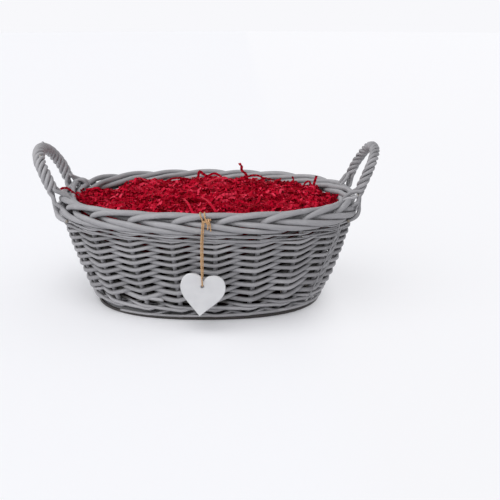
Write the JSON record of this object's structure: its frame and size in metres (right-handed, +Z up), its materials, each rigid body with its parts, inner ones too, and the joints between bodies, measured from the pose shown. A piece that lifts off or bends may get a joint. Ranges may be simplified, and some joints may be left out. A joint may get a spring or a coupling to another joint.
{
  "type": "wicker gift basket",
  "caption": "Oval flared wicker basket of grey painted willow with roped end handles, red shredded paper fill and a wooden heart tag hung on twine.",
  "frame": {"origin": "middle of the basket's underside, at the height of the surface it stands on", "axes": "+X along the basket's length towards the right-hand handle, +Z up, and -Y towards the front, where the heart hangs"},
  "size_m": [0.42, 0.2949, 0.1916],
  "materials": {
    "painted_willow": "satin",
    "crinkle_paper": "matte",
    "painted_wood": "satin",
    "jute_twine": "matte"
  },
  "bodies": {
    "basket": {"base_sticks": "painted_willow", "base_weaving_rod": "painted_willow", "foot_ring": "painted_willow", "stake_01": "painted_willow", "stake_02": "painted_willow", "stake_03": "painted_willow", "stake_04": "painted_willow", "stake_05": "painted_willow", "stake_06": "painted_willow", "stake_07": "painted_willow", "stake_08": "painted_willow", "stake_09": "painted_willow", "stake_10": "painted_willow", "stake_11": "painted_willow", "stake_12": "painted_willow", "stake_13": "painted_willow", "stake_14": "painted_willow", "stake_15": "painted_willow", "stake_16": "painted_willow", "stake_17": "painted_willow", "stake_18": "painted_willow", "stake_19": "painted_willow", "stake_20": "painted_willow", "upsett_wale": "painted_willow", "weaver_01": "painted_willow", "weaver_02": "painted_willow", "weaver_03": "painted_willow", "weaver_04": "painted_willow", "weaver_05": "painted_willow", "weaver_06": "painted_willow", "weaver_07": "painted_willow", "weaver_08": "painted_willow", "weaver_09": "painted_willow", "weaver_10": "painted_willow", "weaver_11": "painted_willow", "weaver_12": "painted_willow", "weaver_13": "painted_willow", "weaver_14": "painted_willow", "weaver_15": "painted_willow", "weaver_16": "painted_willow", "weaver_17": "painted_willow", "weaver_18": "painted_willow", "weaver_19": "painted_willow", "weaver_20": "painted_willow", "top_wale": "painted_willow", "right_handle_bow": "painted_willow", "right_handle_strand_1": "painted_willow", "right_handle_strand_2": "painted_willow", "right_handle_strand_3": "painted_willow", "right_handle_strand_4": "painted_willow", "left_handle_bow": "painted_willow", "left_handle_strand_1": "painted_willow", "left_handle_strand_2": "painted_willow", "left_handle_strand_3": "painted_willow", "left_handle_strand_4": "painted_willow", "twine_loop": "jute_twine"},
    "paper_fill": {"paper_fill": "crinkle_paper"},
    "hanging_twine": {"hanging_twine": "jute_twine"},
    "wooden_heart": {"wooden_heart": "painted_wood"}
  },
  "joints": [
    {"name": "fill_lift", "type": "slide", "parent": "basket", "child": "paper_fill", "axis": [0, 0, 1], "range_m": [0, 0.2]},
    {"name": "twine_swing", "type": "hinge", "parent": "basket", "child": "hanging_twine", "pos_m": [-0.0025, -0.1409, 0.128], "axis": [-1, 0, 0], "range_deg": [0, 80]},
    {"name": "heart_swing", "type": "hinge", "parent": "hanging_twine", "child": "wooden_heart", "pos_m": [-0.0025, -0.14766, 0.05708], "axis": [0, 1, 0], "range_deg": [-25, 25]}
  ]
}
